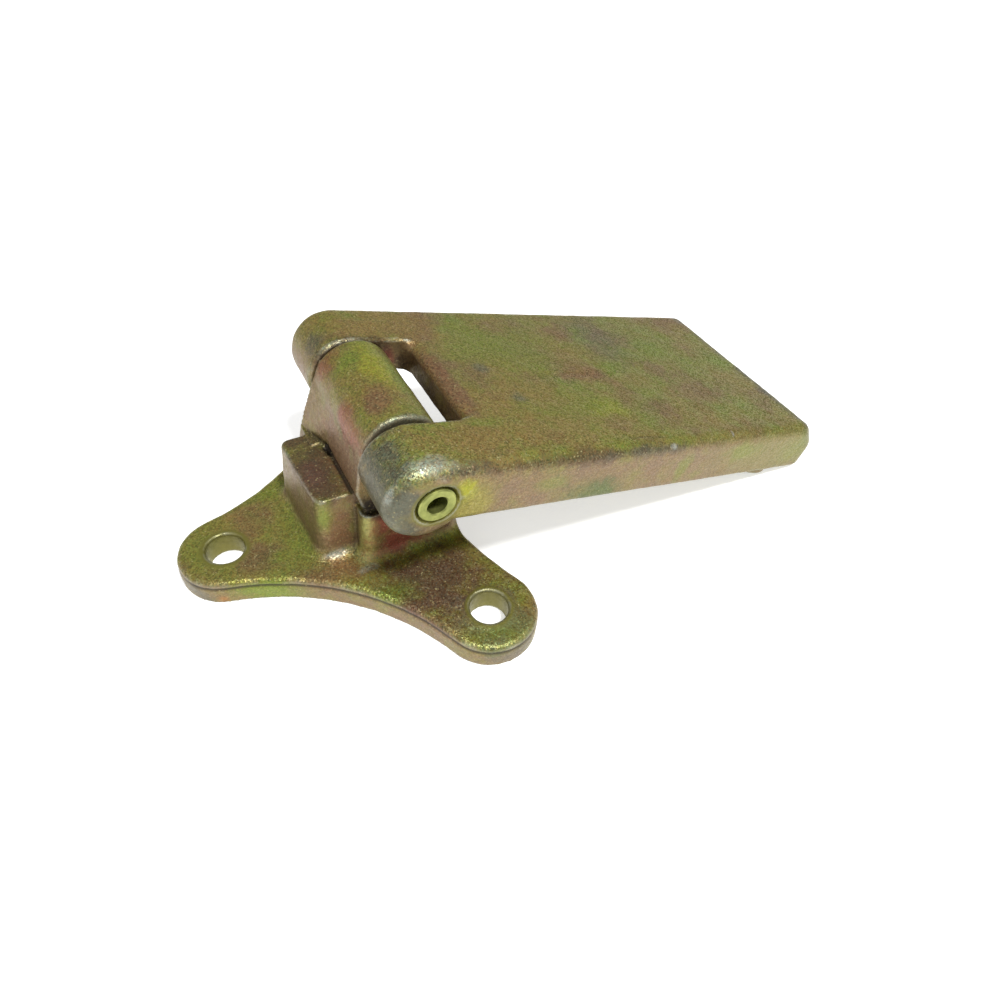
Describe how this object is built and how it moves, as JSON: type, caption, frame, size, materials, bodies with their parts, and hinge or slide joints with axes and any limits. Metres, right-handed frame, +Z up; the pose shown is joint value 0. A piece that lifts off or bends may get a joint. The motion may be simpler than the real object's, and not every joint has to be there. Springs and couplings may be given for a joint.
{
  "type": "car door hinge",
  "caption": "Forged steel door hinge: a lobed body bracket with bolt holes and a broad forked leaf on a pin.",
  "frame": {"origin": "on the bracket's mounting face, straight below the middle of the hinge pin", "axes": "+Z up from the bracket's mounting face, +Y along the pin, +X from the pin towards the leaf's tip"},
  "size_m": [0.1868, 0.1132, 0.0472],
  "materials": {
    "plated_forging": "sand-textured forging, zinc plated with yellow chromate",
    "plated_pin": "turned steel, zinc plated with yellow chromate",
    "bush_bronze": "plain bearing bronze"
  },
  "bodies": {
    "bracket": {"body_bracket": "plated_forging", "knuckle_bush_near": "bush_bronze", "knuckle_bush_far": "bush_bronze"},
    "leaf": {"door_leaf": "plated_forging", "hinge_pin": "plated_pin"}
  },
  "joints": [
    {"name": "pin_hinge", "type": "hinge", "parent": "bracket", "child": "leaf", "pos_m": [0, 0, 0.037], "axis": [0, -1, 0], "range_deg": [-18, 175]}
  ]
}
